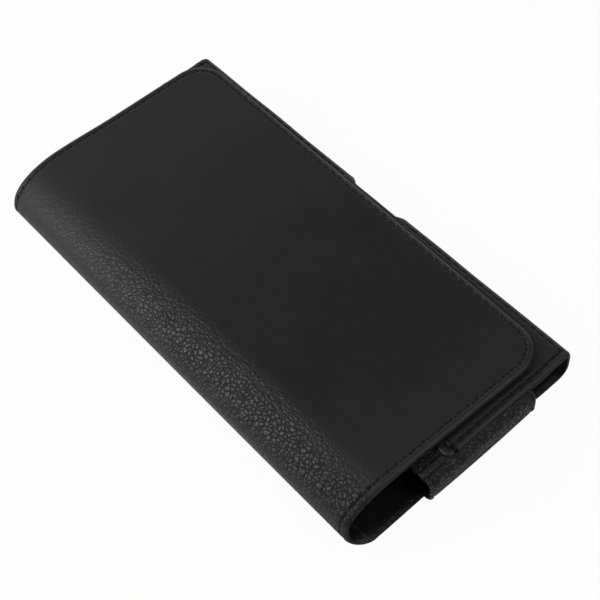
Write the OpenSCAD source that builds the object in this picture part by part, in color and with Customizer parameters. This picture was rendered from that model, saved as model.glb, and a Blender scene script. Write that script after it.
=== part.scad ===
// Belt holster for a large phone, lying on its belt clip with the flap closed.
// X runs along the holster, Y from the flap's fold to the bottom fold, and Z up through the flap.
// The pieces are drawn with Y = 0 at the flap's fold and Z = 0 at the back's outer face,
// and placed so that the origin is under the middle of the holster, on what it rests on.

/* [Pouch] */
// Length of the pouch from end to end
pouch_l = 170; // [150:1:190]
// Width of the pouch from the flap's fold to the bottom fold
pouch_w = 86.4; // [82:0.2:96]
// Clear depth of the phone pocket
pocket_gap = 7.7; // [6.5:0.1:10]
// Width of the front panel, measured from the bottom fold
front_w = 51.4; // [46:0.2:58]
// Corner radius of the front panel's upper edge
front_corner_r = 4; // [1:0.5:7]
// Outer radius where the back turns into the bottom fold
turn_r = 5; // [4:0.5:7]
// Outer radius where the bottom fold turns into the front panel
lip_r = 3.2; // [2.8:0.1:4]
// Outer radius where the back turns into the flap's fold
heel_r = 2.9; // [2.6:0.1:3.6]

/* [Sheets] */
// Thickness of the outer leather
leather_t = 0.9; // [0.6:0.1:1.0]
// Thickness of the stiffening boards, and of what is tucked in beside them
core_t = 0.9; // [0.6:0.1:1.0]
// Thickness of the lining
lining_t = 0.4; // [0.2:0.1:0.6]
// Width of the turned hem between a board and the edge of its panel
hem_w = 4; // [2.5:0.5:6]
// How far the lining stays back from the edges
lining_inset = 1.5; // [0.5:0.1:2]
// Corner radius of the boards
board_r = 3; // [1:0.5:6]

/* [Flap] */
// From the pouch's left end to the flap's side edge, at the fold
flap_inset_left = 0.4; // [0.3:0.1:6]
// From the pouch's right end to the flap's side edge, at the fold
flap_inset_right = 6.8; // [4:0.1:9]
// How far the flap is turned from square, in degrees
flap_skew = 1.4; // [0:0.1:2]
// From the middle of the flap's free edge to the bottom fold
flap_margin = 4.8; // [3:0.2:12]
// Radius of the flap's free corners
flap_corner_r = 11; // [8:0.5:20]
// Gap between the closed flap and the front panel
flap_gap = 0.3; // [0.3:0.05:0.8]
// Gap between the flap and the back at the hinge line
hinge_gap = 0.3; // [0.2:0.05:0.5]

/* [Magnets] */
// Diameter of the magnets and their keepers
magnet_d = 12; // [8:0.5:16]
// From the pouch's ends to the magnets' centres
magnet_end = 40; // [30:1:55]
// From the flap's free edge to the magnets' centres
magnet_inset = 15.6; // [13:0.2:24]

/* [End straps] */
// Width of an end strap
strap_w = 43; // [30:0.5:50]
// From the bottom fold to the strap's nearer edge
strap_margin = 17.9; // [14:0.1:24]
// Length of the strap that is tucked into the pouch
strap_tuck = 8; // [5:0.5:12]
// Outer radius of the strap's two turns, and how far it stands out from the pouch
strap_r = 2.6; // [1.6:0.1:4]

/* [Push notch] */
// Length of the notch in the bottom fold
notch_l = 23.5; // [14:0.5:40]
// Depth of the notch
notch_d = 2.4; // [2.4:0.1:6]
// How far the notch's middle lies from the pouch's middle
notch_shift = 3.2; // [-8:0.1:8]
// How much shorter the notch is at its floor, at each end
notch_slant = 2.4; // [0:0.1:4]

/* [Belt loops] */
// Width of a belt loop
loop_w = 24; // [16:0.5:30]
// Length of a belt loop
loop_l = 66; // [58:0.5:70]
// From the pouch's ends to the middles of the loops
loop_end = 33; // [27:1:43]
// Clear depth of a loop, for the belt
loop_gap = 5; // [4.4:0.1:6]
// Thickness of the loop's folded leather
loop_t = 1.6; // [1.2:0.1:2]
// Length of each sewn end of a loop
loop_foot = 7; // [5:0.5:9]

/* [Belt clip] */
// Height of the clip, from its outer face to the back of the pouch
clip_h = 9.5; // [8.8:0.1:12]
// Width of the clip's base
clip_w = 30; // [24:0.5:40]
// Thickness of the base's sheet steel
base_t = 1; // [0.8:0.1:1.2]
// Thickness of the lever's sheet steel
lever_t = 1.2; // [1:0.1:1.5]
// From the flap's fold to the pin
pin_y = 17; // [16:0.5:22]
// Radius of the hinge pin
pin_r = 1.25; // [1:0.05:1.5]
// Running clearance round the pin
pin_fit = 0.05; // [0.02:0.01:0.1]
// Radius of the rounded ears
ear_r = 3; // [2.6:0.1:3.1]
// Sideways gap between the base's ears, the lever's ears and the pin's heads
ear_gap = 0.3; // [0.2:0.05:0.5]
// Length of the base beyond the pin
base_reach = 27; // [22:0.5:34]
// Length of the thumb tab beyond the pin
tab_l = 12; // [9:0.5:13]
// Flat length of the lever from the pin to the jaw
lever_l = 45; // [38:0.5:50]
// Outer radius of the jaw's bend
jaw_r = 6.5; // [5:0.1:8]
// Gap between the jaw's tip and the back of the pouch
jaw_gap = 0.8; // [0.5:0.1:2]
// Width of the lever at the end of its jaw
jaw_w = 24; // [16:0.5:30]
// From the pin to the rivets
rivet_reach = 19; // [15:0.5:22]
// Distance between the two rivets
rivet_span = 16; // [10:0.5:19]
// Radius of the rivet's shank
rivet_r = 1.5; // [1.2:0.1:1.8]
// Wire diameter of the torsion spring
wire_d = 1; // [0.8:0.05:1.1]
// Width of the spring's coil along the pin
coil_w = 8; // [7:0.5:12]

/* [Hidden] */

leather_black = [0.13, 0.13, 0.13];
lining_black = [0.07, 0.07, 0.07];
board_grey = [0.45, 0.42, 0.38];
steel_grey = [0.55, 0.56, 0.58];
clip_black = [0.09, 0.09, 0.1];

fit_gap = 0.1; // round pieces laid into a recess of their own shape
over = 1;      // how far cutting shapes run past what they cut
board_gap = 1; // from a board to the bends and the straps next to it
arc_step = 6;  // largest angle between two points of a traced bend, in degrees
round_fn = 48;

skin_t = leather_t + core_t;
panel_t = skin_t + lining_t;
pouch_h = pocket_gap + 2 * panel_t;
half_l = pouch_l / 2;
front_y = pouch_w - front_w;

flap_in = pouch_h + flap_gap;
flap_top = flap_in + panel_t;
flap_y = pouch_w - flap_margin;
flap_left = flap_inset_left - half_l;
flap_right = half_l - flap_inset_right;
flap_mid = (flap_left + flap_right) / 2;
// How far the skew moves the flap's free edge at its ends
skew_run = (flap_right - flap_left) / 2 * sin(flap_skew);

// The fold opens out from tight to flat: [radius, angle] of each bend for a fold of unit size.
fold_bends = [[8.5, 41], [13.5, 21], [21, 15], [39, 13]];
function turned(i) = i == 0 ? 0 : turned(i - 1) + fold_bends[i - 1][1];
function rise(i) = i == 0 ? 0
    : rise(i - 1) + fold_bends[i - 1][0] * (sin(turned(i)) - sin(turned(i - 1)));
function run(i) = i == 0 ? 0
    : run(i - 1) + fold_bends[i - 1][0] * (cos(turned(i - 1)) - cos(turned(i)));
fold_scale = (flap_top - heel_r) / rise(len(fold_bends));
fold_run = fold_scale * run(len(fold_bends));

// A bent sheet is traced as a course: a list of [length, 0] for a straight stretch or [radius, angle]
// for a bend, to the left where the angle is positive. Each point of the course keeps its heading,
// so that the sheet's layers are the same course moved sideways.
function ahead(h) = [cos(h), sin(h)];
function leftward(h) = [-sin(h), cos(h)];
function bend_points(r, angle, p, h) = let (
    side = sign(angle),
    centre = p + side * r * leftward(h),
    steps = ceil(abs(angle) / arc_step)
) [for (k = [1:steps]) let (g = h + angle * k / steps) [centre - side * r * leftward(g), g]];
function stretch(s, p, h) = s[1] == 0 ? [[p + s[0] * ahead(h), h]] : bend_points(s[0], s[1], p, h);
function walk(parts, p, h, i = 0) = i == len(parts) ? [] : let (
    points = stretch(parts[i], p, h),
    last = points[len(points) - 1]
) concat(points, walk(parts, last[0], last[1], i + 1));
function course(parts, p, h) = concat([[p, h]], walk(parts, p, h));
function layer(c, from, to) = concat(
    [for (q = c) q[0] + from * leftward(q[1])],
    [for (i = [len(c) - 1:-1:0]) c[i][0] + to * leftward(c[i][1])]
);

// The hinge line lies on the outer face, where the heel ends and the flap's fold begins.
hinge_p = [0, heel_r];

pouch_course = course([
    [heel_r, 90], [pouch_w - heel_r - turn_r, 0], [turn_r, 90],
    [pouch_h - turn_r - lip_r, 0], [lip_r, 90], [front_w - lip_r, 0]
], hinge_p, -90);
pouch_lining_course = course([
    [pouch_w - heel_r - turn_r - lining_inset, 0], [turn_r, 90],
    [pouch_h - turn_r - lip_r, 0], [lip_r, 90], [front_w - lip_r - lining_inset, 0]
], [heel_r + lining_inset, 0], 0);
fold_course = [for (b = fold_bends) [fold_scale * b[0], -b[1]]];
flap_course = course(concat(fold_course, [[flap_y + skew_run - fold_run, 0]]), hinge_p, 90);

// Rounded plan outlines
function quarter(c, r, from) = let (steps = ceil(90 / arc_step))
    [for (k = [0:steps]) c + r * ahead(from + 90 * k / steps)];
function box_outline(x0, y0, x1, y1, r) = concat(
    quarter([x1 - r, y1 - r], r, 0), quarter([x0 + r, y1 - r], r, 90),
    quarter([x0 + r, y0 + r], r, 180), quarter([x1 - r, y0 + r], r, 270)
);
// The flap was sewn on a little askew: its outlines are drawn square, then turned about its hinge line.
function skewed(outline) = [for (q = outline) [
    flap_mid + (q[0] - flap_mid) * cos(flap_skew) + q[1] * sin(flap_skew),
    q[1] * cos(flap_skew) - (q[0] - flap_mid) * sin(flap_skew)
]];
function flap_plan(inset) = skewed(box_outline(
    flap_left + inset, -2 * flap_corner_r, flap_right - inset, flap_y - inset, flap_corner_r - inset
));

// Belt loop and clip sections
loop_turn = 70;
loop_bend = loop_gap / (2 * (1 - cos(loop_turn)));
loop_flat = loop_l - 2 * loop_foot - 4 * loop_bend * sin(loop_turn);
loop_course = course([
    [loop_foot, 0], [loop_bend, -loop_turn], [loop_bend, loop_turn], [loop_flat, 0],
    [loop_bend, loop_turn], [loop_bend, -loop_turn], [loop_foot, 0]
], [(pouch_w - loop_l) / 2, 0], 0);

clip_space = clip_h - base_t - lever_t;
pin_z = -base_t - clip_space / 2;
lever_w = clip_w + 2 * (ear_gap + base_t);
ear_foot = ear_r + 1;
pin_head_r = pin_r + 0.8;
pin_head_t = 0.8;
base_corner_r = 4;
tab_corner_r = 6;
jaw_corner_r = 5;
taper_from = 2;
tab_lift = 30;
tab_bend = 4;
jaw_turn = 62;
jaw_lip_turn = 52;
jaw_lip_r = 1.5;
jaw_lip_l = 1.5;
jaw_end = jaw_turn - jaw_lip_turn;
// Height that the jaw's bends give its tip, and the straight stretch that makes up the rest
jaw_bends_h = jaw_r * (1 - cos(jaw_turn)) + jaw_lip_r * (cos(jaw_end) - cos(jaw_turn))
    + jaw_lip_l * sin(jaw_end) + lever_t * cos(jaw_end);
jaw_rise = (clip_h - jaw_gap - jaw_bends_h) / sin(jaw_turn);
lever_course = course([
    [tab_bend, tab_lift], [tab_l + lever_l - tab_bend * sin(tab_lift), 0], [jaw_r, jaw_turn],
    [jaw_rise, 0], [jaw_lip_r, -jaw_lip_turn], [jaw_lip_l, 0]
], [pin_y - tab_l, -clip_h + tab_bend * (1 - cos(tab_lift))], -tab_lift);
lever_end = lever_course[len(lever_course) - 1][0][0];

rivet_y = pin_y + rivet_reach;
rivet_head_r = 2 * rivet_r;
rivet_head_h = 1.1;
rivet_rim_h = 0.5;
rivet_crown_r = 0.6 * rivet_head_r;
rivet_tail_r = 1.7 * rivet_r;
rivet_tail_h = core_t * 0.7;
plate_margin = 5;
plate_corner_r = 2;

spring_clear = 0.3;
coil_r = pin_r + spring_clear + wire_d / 2;
spring_leg = 9;
base_heel = spring_leg + 1;
// The legs rise from the coil to the base and to the lever by this angle.
leg_play = 0.1;
leg_angle = asin((clip_space / 2 - leg_play - wire_d / 2 - coil_r) / spring_leg);
coil_turns = 6;
coil_from = -90 + leg_angle;
coil_to = 90 - leg_angle + 360 * (coil_turns - 1);
coil_steps = 110;
wire_sides = 8;

module place() {
    translate([0, -pouch_w / 2, clip_h]) children();
}

module along_x(length) {
    rotate([90, 0, 90]) linear_extrude(length, center = true) children();
}

module slab(outline, z0, z1) {
    translate([0, 0, z0]) linear_extrude(z1 - z0) polygon(outline);
}

module bar(x0, x1, y, z, r) {
    translate([x0, y, z]) rotate([0, 90, 0]) cylinder(h = x1 - x0, r = r, $fn = round_fn);
}

module hinge_slot() {
    translate([0, hinge_p[0], hinge_p[1]])
        cube([pouch_l + 2 * over, 4 * panel_t, hinge_gap], center = true);
}

// Outline of a panel's board, grown by a clearance
function back_board_outline(grow) = box_outline(
    -half_l + strap_tuck + board_gap - grow, heel_r + hem_w - grow,
    half_l - strap_tuck - board_gap + grow, pouch_w - turn_r - board_gap + grow, board_r
);
function front_board_outline(grow) = box_outline(
    -half_l + strap_tuck + board_gap - grow, front_y + hem_w - grow,
    half_l - strap_tuck - board_gap + grow, pouch_w - turn_r - board_gap + grow, board_r
);
function flap_board_outline(grow) = skewed(box_outline(
    flap_left + hem_w - grow, fold_run + skew_run + board_gap - grow,
    flap_right - hem_w + grow, flap_y - hem_w + grow, flap_corner_r - hem_w
));
function backing_outline(grow) = box_outline(
    -rivet_span / 2 - plate_margin - grow, rivet_y - plate_margin - grow,
    rivet_span / 2 + plate_margin + grow, rivet_y + plate_margin + grow, plate_corner_r
);

module strap_slots() {
    for (side = [-1, 1], z = [leather_t, pouch_h - skin_t])
        translate([side * half_l - strap_tuck - fit_gap, strap_y0 - fit_gap, z])
            cube([2 * (strap_tuck + fit_gap), strap_w + 2 * fit_gap, core_t]);
}
strap_y0 = pouch_w - strap_margin - strap_w;

module notch() {
    x0 = notch_shift - notch_l / 2;
    x1 = notch_shift + notch_l / 2;
    y = pouch_w - notch_d;
    slab([
        [x0 + notch_slant, y], [x1 - notch_slant, y], [x1, pouch_w], [x1, pouch_w + over],
        [x0, pouch_w + over], [x0, pouch_w]
    ], -over, pouch_h + over);
}

// What is cut away to round a corner at the pouch's right end, where an edge lies at y
module corner_cut(r, y, z0, z1) {
    translate([half_l - r, y, z0]) difference() {
        translate([0, -over, 0]) cube([r + over, r + over, z1 - z0]);
        translate([0, r, -over]) cylinder(h = z1 - z0 + 2 * over, r = r, $fn = round_fn);
    }
}
module front_corners() {
    for (side = [0, 1]) mirror([side, 0, 0])
        corner_cut(front_corner_r, front_y, pouch_h - panel_t - over, pouch_h + over);
}
// The heel runs round from the pouch's end to the flap's right edge, which lies further in.
module heel_corner() {
    corner_cut(flap_inset_right, 0, -over, heel_r + over);
}

module rivet_holes() {
    for (side = [-1, 1]) translate([side * rivet_span / 2, rivet_y, -base_t - over])
        cylinder(h = base_t + panel_t + 2 * over, r = rivet_r + pin_fit, $fn = round_fn);
}

// Discs for the two magnets or their keepers, side by side along the holster
module magnet_disc(side, z) {
    translate([side * (half_l - magnet_end), flap_y - magnet_inset, z])
        cylinder(h = core_t, r = magnet_d / 2, $fn = round_fn);
}
module magnet_holes(z) {
    for (side = [-1, 1])
        translate([side * (half_l - magnet_end), flap_y - magnet_inset, z - over])
            cylinder(h = core_t + 2 * over, r = magnet_d / 2 + fit_gap, $fn = round_fn);
}

module pouch_leather() {
    color(leather_black) place() difference() {
        along_x(pouch_l) polygon(layer(pouch_course, 0, skin_t));
        slab(back_board_outline(fit_gap), leather_t, skin_t + over);
        slab(front_board_outline(fit_gap), pouch_h - skin_t - over, pouch_h - leather_t);
        strap_slots();
        front_corners();
        heel_corner();
        notch();
        rivet_holes();
        hinge_slot();
    }
}

module pouch_lining() {
    color(lining_black) place() difference() {
        along_x(pouch_l - 2 * lining_inset) polygon(layer(pouch_lining_course, skin_t, panel_t));
        front_corners();
        notch();
    }
}

module back_board() {
    color(board_grey) place() difference() {
        slab(back_board_outline(0), leather_t, skin_t);
        translate([0, 0, leather_t - over]) slab(backing_outline(fit_gap), 0, core_t + 2 * over);
    }
}

module front_board() {
    color(board_grey) place() difference() {
        slab(front_board_outline(0), pouch_h - skin_t, pouch_h - leather_t);
        magnet_holes(pouch_h - skin_t);
    }
}

module keeper(side) {
    color(steel_grey) place() magnet_disc(side, pouch_h - skin_t);
}
module keeper_left() { keeper(-1); }
module keeper_right() { keeper(1); }

module end_strap(side) {
    strap_course = course([
        [strap_tuck, 0], [strap_r, 90], [pouch_h - 2 * leather_t - 2 * strap_r, 0], [strap_r, 90],
        [strap_tuck, 0]
    ], [half_l - strap_tuck, leather_t], 0);
    color(leather_black) place() mirror([side < 0 ? 1 : 0, 0, 0])
        translate([0, strap_y0 + strap_w, 0]) rotate([90, 0, 0])
            linear_extrude(strap_w) polygon(layer(strap_course, 0, core_t));
}
module end_strap_left() { end_strap(-1); }
module end_strap_right() { end_strap(1); }

// The loops hang below the back, so their course is traced downwards from it.
module belt_loop(side) {
    color(leather_black) place() translate([side * (half_l - loop_end), 0, 0])
        along_x(loop_w) polygon(layer(loop_course, 0, -loop_t));
}
module belt_loop_left() { belt_loop(-1); }
module belt_loop_right() { belt_loop(1); }

module clip_backing_plate() {
    color(steel_grey) place() difference() {
        slab(backing_outline(0), leather_t, skin_t);
        rivet_holes();
        for (side = [-1, 1]) translate([side * rivet_span / 2, rivet_y, skin_t - rivet_tail_h])
            cylinder(h = rivet_tail_h, r1 = rivet_r + pin_fit, r2 = rivet_tail_r + pin_fit,
                $fn = round_fn);
    }
}

module clip_rivets() {
    color(clip_black) place() for (side = [-1, 1])
        translate([side * rivet_span / 2, rivet_y, 0]) rotate_extrude($fn = round_fn) polygon([
            [0, -base_t - rivet_head_h], [rivet_crown_r, -base_t - rivet_head_h],
            [rivet_head_r, -base_t - rivet_rim_h], [rivet_head_r, -base_t],
            [rivet_r, -base_t], [rivet_r, skin_t - rivet_tail_h], [rivet_tail_r, skin_t], [0, skin_t]
        ]);
}

// An ear in side view: round about the pin and straight down to its plate at z
module ear_profile(z) {
    translate([pin_y, pin_z]) circle(r = ear_r, $fn = round_fn);
    polygon([
        [pin_y - ear_foot, z], [pin_y + ear_foot, z], [pin_y + ear_r, pin_z], [pin_y - ear_r, pin_z]
    ]);
}
module ears(inner, z) {
    for (side = [-1, 1]) translate([side * (inner + base_t / 2), 0, 0])
        along_x(base_t) ear_profile(z);
}
module pin_hole() {
    bar(-lever_w, lever_w, pin_y, pin_z, pin_r + pin_fit);
}

module clip_base() {
    color(clip_black) place() difference() {
        union() {
            slab(box_outline(-clip_w / 2, pin_y - base_heel, clip_w / 2, pin_y + base_reach,
                base_corner_r), -base_t, 0);
            ears(clip_w / 2 - base_t, -base_t / 2);
        }
        pin_hole();
        rivet_holes();
    }
}

module clip_pin() {
    shank_x = lever_w / 2 + ear_gap;
    color(steel_grey) place() {
        bar(-shank_x, shank_x, pin_y, pin_z, pin_r);
        for (side = [0, 1]) mirror([side, 0, 0])
            bar(shank_x, shank_x + pin_head_t, pin_y, pin_z, pin_head_r);
    }
}

// Plan of the lever: full width at the tab and the ears, then a long taper to the jaw's tip
module lever_plan() {
    half = lever_w / 2;
    jaw = jaw_w / 2;
    tab_y = pin_y - tab_l;
    slab(concat(
        [[half, pin_y + ear_foot + taper_from], [jaw, lever_end - jaw_corner_r]],
        quarter([jaw - jaw_corner_r, lever_end - jaw_corner_r], jaw_corner_r, 0),
        quarter([jaw_corner_r - jaw, lever_end - jaw_corner_r], jaw_corner_r, 90),
        [[-jaw, lever_end - jaw_corner_r], [-half, pin_y + ear_foot + taper_from]],
        quarter([tab_corner_r - half, tab_y + tab_corner_r], tab_corner_r, 180),
        quarter([half - tab_corner_r, tab_y + tab_corner_r], tab_corner_r, 270)
    ), -clip_h - over, 0);
}

module clip_lever() {
    color(clip_black) place() difference() {
        union() {
            intersection() {
                along_x(lever_w) polygon(layer(lever_course, 0, lever_t));
                lever_plan();
            }
            ears(lever_w / 2 - base_t, lever_t / 2 - clip_h);
        }
        pin_hole();
    }
}

// Ring of the wire's surface, at an angle about the pin and a distance from it along a leg
function wire_ring(x, angle, along) = [for (k = [0:wire_sides - 1]) let (
    a = 360 * k / wire_sides,
    out = coil_r + wire_d / 2 * cos(a),
    yz = [pin_y, pin_z] + out * ahead(angle) + along * leftward(angle)
) [x + wire_d / 2 * sin(a), yz[0], yz[1]]];

module clip_spring() {
    x0 = (wire_d - coil_w) / 2;
    rings = concat(
        [wire_ring(x0, coil_from, -spring_leg)],
        [for (k = [0:coil_steps]) let (t = k / coil_steps)
            wire_ring(x0 * (1 - 2 * t), coil_from + (coil_to - coil_from) * t, 0)],
        [wire_ring(-x0, coil_to, spring_leg)]
    );
    n = wire_sides;
    count = len(rings);
    color(steel_grey) place() polyhedron(
        points = [for (ring = rings, p = ring) p],
        faces = concat(
            [[for (k = [0:n - 1]) k]],
            [for (r = [0:count - 2], k = [0:n - 1]) [
                r * n + k, (r + 1) * n + k, (r + 1) * n + (k + 1) % n, r * n + (k + 1) % n
            ]],
            [[for (k = [n - 1:-1:0]) (count - 1) * n + k]]
        )
    );
}

module flap_leather() {
    color(leather_black) place() difference() {
        intersection() {
            along_x(pouch_l) polygon(layer(flap_course, 0, -skin_t));
            slab(flap_plan(0), -over, flap_top + over);
        }
        slab(flap_board_outline(fit_gap), flap_in, flap_top - leather_t);
        hinge_slot();
    }
}

module flap_lining() {
    color(lining_black) place() difference() {
        intersection() {
            along_x(pouch_l) polygon(layer(flap_course, -skin_t, -panel_t));
            slab(flap_plan(lining_inset), -over, flap_top + over);
        }
        hinge_slot();
    }
}

module flap_board() {
    color(board_grey) place() difference() {
        slab(flap_board_outline(0), flap_in + lining_t, flap_top - leather_t);
        magnet_holes(flap_in + lining_t);
    }
}

module flap_magnet(side) {
    color(steel_grey) place() magnet_disc(side, flap_in + lining_t);
}
module flap_magnet_left() { flap_magnet(-1); }
module flap_magnet_right() { flap_magnet(1); }

pouch_leather();
pouch_lining();
back_board();
front_board();
keeper_left();
keeper_right();
end_strap_left();
end_strap_right();
belt_loop_left();
belt_loop_right();
clip_backing_plate();
clip_rivets();
clip_base();
clip_pin();
clip_spring();
flap_leather();
flap_board();
flap_lining();
flap_magnet_left();
flap_magnet_right();
clip_lever();
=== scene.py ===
"""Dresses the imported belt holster: turned leather, linings, stitching, straps, belt loops and clip.

Shapes are worked out in the part's own millimetres: Y from the flap's fold, Z from the back's outer face.
A panel is a flat sheet, with x along the holster and s along its bent course, wrapped onto that course.
"""

import math

import bmesh
import bpy
import numpy as np
from mathutils import Matrix, Vector

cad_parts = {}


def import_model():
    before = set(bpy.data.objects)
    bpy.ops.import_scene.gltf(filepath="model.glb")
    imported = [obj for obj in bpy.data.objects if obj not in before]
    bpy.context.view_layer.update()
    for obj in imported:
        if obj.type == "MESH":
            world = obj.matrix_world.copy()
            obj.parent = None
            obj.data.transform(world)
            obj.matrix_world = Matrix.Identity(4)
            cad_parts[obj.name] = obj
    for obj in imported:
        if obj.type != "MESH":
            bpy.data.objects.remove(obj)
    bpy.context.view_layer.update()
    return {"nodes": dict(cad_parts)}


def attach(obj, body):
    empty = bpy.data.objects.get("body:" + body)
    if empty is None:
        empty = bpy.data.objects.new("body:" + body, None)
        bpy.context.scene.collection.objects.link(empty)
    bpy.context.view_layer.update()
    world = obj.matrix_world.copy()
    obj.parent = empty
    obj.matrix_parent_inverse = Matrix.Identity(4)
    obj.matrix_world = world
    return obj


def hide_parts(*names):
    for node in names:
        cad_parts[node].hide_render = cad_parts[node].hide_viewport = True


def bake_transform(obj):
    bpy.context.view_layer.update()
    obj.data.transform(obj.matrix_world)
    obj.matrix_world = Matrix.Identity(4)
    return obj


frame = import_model()

MM = 0.001
Y_MID, Z_BACK = 43.2, 9.5

# The pouch and its leather, in millimetres, as all sizes are unless a comment says metres
HALF_L, POUCH_W, POUCH_H = 85.0, 86.4, 12.1
FRONT_Y, TURN_R, LIP_R, HEEL_R = 35.0, 5.0, 3.2, 2.9
LEATHER_T, SKIN_T, PANEL_T = 0.9, 1.8, 2.2
STRIP_Y, FRONT_CORNER, LINING_INSET, LINING_START = 8.0, 1.6, 1.5, -3.0
NOTCH_X0, NOTCH_X1, NOTCH_Y, NOTCH_SLANT, NOTCH_LINING = -8.55, 14.95, 84.7, 2.4, 0.6

# The flap: its sides, free edge, top and corner, the turns of sides and free edge in degrees, and its bows
FLAP_L, FLAP_R, FLAP_Y, FLAP_TOP, FLAP_CORNER = -85.7, 79.2, 82.1, 14.6, 11.0
FLAP_MID = (FLAP_L + FLAP_R) / 2
FLAP_SKEW, FREE_SKEW = 1.4, 1.0
FOLD_BOW, HEEL_BOW, SIDE_BOW = 0.9, 0.4, 0.7
# Radii and angles of its fold, which opens out from tight to flat
FOLD = [[8.5, 41], [13.5, 21], [21, 15], [39, 13]]

# Seams: their pitch, distances from the edges and grooves, and the heights of their threads
PITCH = 3.5
FLAP_SEAM, FREE_SEAM, FRONT_SEAM = 2.4, 1.9, 2.4
GROOVE_W, WRAP_GROOVE, SHELL_GROOVE, STRAP_GROOVE = 0.42, 0.13, 0.20, 0.36
FLAP_SINK, SIDE_SINK, BASE_SINK, STRAP_SINK, LOOP_SINK = -0.31, -0.35, -0.40, -0.34, -0.02
# Added to the distance from a seam: where the base's holes are smaller, and on faces that aren't sewn
BASE_FAINT, UNSEWN = 0.15, 20.0

# End straps and their piping, belt loops, and the clip's spring
STRAP_Y0, STRAP_Y1, STRAP_TUCK, STRAP_R, STRAP_T = 25.5, 68.5, 8.0, 2.6, 0.9
STRAP_CROWN, STRAP_HEM, STRAP_SWELL = 0.25, 0.16, 0.35
PIPE_IN, PIPE_RX, PIPE_RZ, PIPE_LIFT, PIPE_T = 1.2, 1.25, 0.80, 0.12, 0.45
LOOP_X, LOOP_W, LOOP_Y0, LOOP_Y1 = 52.0, 24.0, 10.2, 76.2
LOOP_GAP, LOOP_T, LOOP_FOOT, LOOP_TURN, LOOP_HEM = 5.0, 1.6, 7.0, 70.0, 0.10
LOOP_SEAM, LOOP_ROWS, LOOP_PITCH, LOOP_THREAD = 2.4, (1.6, 5.6), 2.4, 0.25
PIN_Y, PIN_Z, COIL_R, COIL_W, WIRE_D, LEG = 17.0, -4.65, 2.05, 8.0, 1.0, 9.0
COIL_TURNS, LEG_SPACE, PLAY = 5, 7.3, 0.1

# Steps of the grids from an edge, from the notch, and from a strap's edge, and columns between them
INSETS = [0, 0.07, 0.2, 0.4, 0.68, 1.0, 1.3, 1.55, 1.8, 2.05, 2.3, 2.6, 2.9, 3.2, 3.6, 4.2]
NEAR = [0.0, 0.12, 0.35, 0.65, 1.0, 1.5]
STRIP_INSETS = [0, 0.06, 0.18, 0.36, 0.6, 0.9, 1.15, 1.4, 1.6, 1.8, 2.05, 2.4, 3.0]
LOOP_INSETS = [0.06, 0.2, 0.4, 0.7]
FLAP_COLUMNS, LEFT_COLUMNS, NOTCH_COLUMNS, RIGHT_COLUMNS = 96, 48, 12, 44

# Profile of a turned and sewn edge: share of its height from the top, and how far it stands out
ROLLED = [(0.18, 0.07), (0.34, 0.09), (0.50, 0.02), (0.60, -0.14), (0.70, 0.0), (0.85, 0.05)]
PLAIN = [(0.5, 0.03)]

# The floor, in metres, and how much of it glows for the camera, and in gloss and glass
FLOOR_HALF, FLOOR_Z, FLOOR_GLOW, FLOOR_GLOSS = 2.0, -0.0002, 0.96, 0.2
# Lamps: place and size in metres, and power in watts
LAMPS = {"key": ((-0.205, -0.385, 0.395), (0.10, 0.62), 2.6), "side": ((0.85, 0.55, 1.35), (1.1, 1.1), 7.5)}
LAMP_AIM = (0, 0, 0.01)
# The camera: focal length and film in millimetres, place in metres, and its directions
FOCAL, FILM, CLIP_START = 78.09, 36.0, 0.01
CAMERA_AT = (0.197566, -0.134414, 0.352379)
CAMERA_FORWARD, CAMERA_RIGHT = (-0.45502, 0.32961, -0.82723), (0.66200, 0.74653, -0.06667)


def row(x, y, z):
    """Points of the part's drawing, in millimetres, as points of the frame in metres."""
    return np.stack([np.asarray(x) * MM, (np.asarray(y) - Y_MID) * MM, (np.asarray(z) + Z_BACK) * MM], -1)


def smooth(t):
    """0 up to t = 0, rising smoothly to 1 at t = 1."""
    t = np.clip(t, 0.0, 1.0)
    return t * t * (3 - 2 * t)


def hump(t):
    """1 at t = 0, falling smoothly to 0 at t = -1 and 1."""
    return smooth(1 - np.abs(t))


def round_off(t):
    """The drop of a quarter circle: 0 up to t = 0, 1 at t = 1."""
    t = np.clip(t, 0, 1)
    return 1 - np.sqrt(1 - t * t)


def groove(away, width=GROOVE_W):
    """1 on a seam, fading out to both sides."""
    return np.exp(-((away / width) ** 2))


class Course:
    """A bent line in Y and Z: parts are [length, 0] or [radius, degrees], to the left where positive."""

    def __init__(self, parts, start, heading):
        self.knots, p, h, s = [], np.array(start, float), math.radians(heading), 0.0
        for r, turn in parts:
            angle = math.radians(turn)
            length = r * abs(angle) if turn else r
            self.knots.append((s, length, p.copy(), h, angle / length if turn else 0.0))
            if turn:
                side = math.copysign(1, angle)
                centre = p + side * r * np.array([-math.sin(h), math.cos(h)])
                h += angle
                p = centre - side * r * np.array([-math.sin(h), math.cos(h)])
            else:
                p = p + r * np.array([math.cos(h), math.sin(h)])
            s += length
        self.length = s

    def at(self, s):
        """Y, Z and heading at each s."""
        s = np.asarray(s, float)
        y, z, g = np.zeros_like(s), np.zeros_like(s), np.zeros_like(s)
        for k, (s0, length, p, h, bend) in enumerate(self.knots):
            first, last = k == 0, k == len(self.knots) - 1
            here = ((s >= s0) | first) & ((s < s0 + length) | last)
            t = s[here] - s0
            a = h + bend * t
            if bend:
                y[here] = p[0] + (np.sin(a) - math.sin(h)) / bend
                z[here] = p[1] - (np.cos(a) - math.cos(h)) / bend
            else:
                y[here] = p[0] + t * math.cos(h)
                z[here] = p[1] + t * math.sin(h)
            g[here] = a
        return y, z, g

    def s_of(self, k):
        """Where part k starts."""
        return self.knots[k][0] if k < len(self.knots) else self.length


def between(a, b, count):
    """The marks that divide a to b into count steps."""
    return [a + (b - a) * k / count for k in range(1, count)]


def after(a, steps):
    return [a + k for k in steps]


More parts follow.
